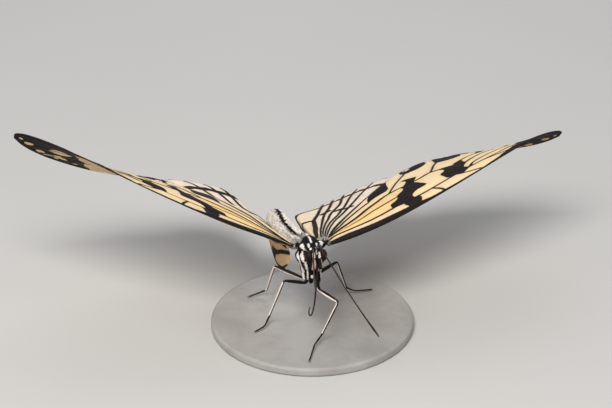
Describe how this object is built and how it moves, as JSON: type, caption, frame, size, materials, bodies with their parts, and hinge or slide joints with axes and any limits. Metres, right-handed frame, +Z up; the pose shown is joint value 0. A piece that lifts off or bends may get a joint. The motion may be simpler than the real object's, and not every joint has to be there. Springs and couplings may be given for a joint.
{
  "type": "paper kite butterfly",
  "caption": "Life-size paper kite butterfly feeding with half-open wings, legs spread and uncoiled proboscis, on a small plain round display base.",
  "frame": {"origin": "under the middle of the model's box, at the underside of the display base", "axes": "+Z up; the butterfly faces -Y and its left wings are at +X"},
  "size_m": [0.1228, 0.0714, 0.0385],
  "materials": {
    "base": "satin mid grey",
    "body": "black fur and scales with white spots",
    "abdomen": "matt white scales with a dark stripe",
    "eye": "glossy black, faceted",
    "limb": "satin dark chitin, pale below",
    "forewing": "matt warm cream with black veins and blotches",
    "hindwing": "matt white with dark veins"
  },
  "bodies": {
    "root": {"stand_base": "base", "thorax": "body", "head": "body", "abdomen": "abdomen", "eye_left": "eye", "eye_right": "eye", "palp_left": "body", "palp_right": "body", "antenna_left": "limb", "antenna_right": "limb", "proboscis": "limb", "foreleg_left": "body", "foreleg_right": "body", "midleg_left": "limb", "midleg_right": "limb", "hindleg_left": "limb", "hindleg_right": "limb", "forewing_left": "forewing", "forewing_right": "forewing", "hindwing_left": "hindwing", "hindwing_right": "hindwing"}
  },
  "joints": []
}
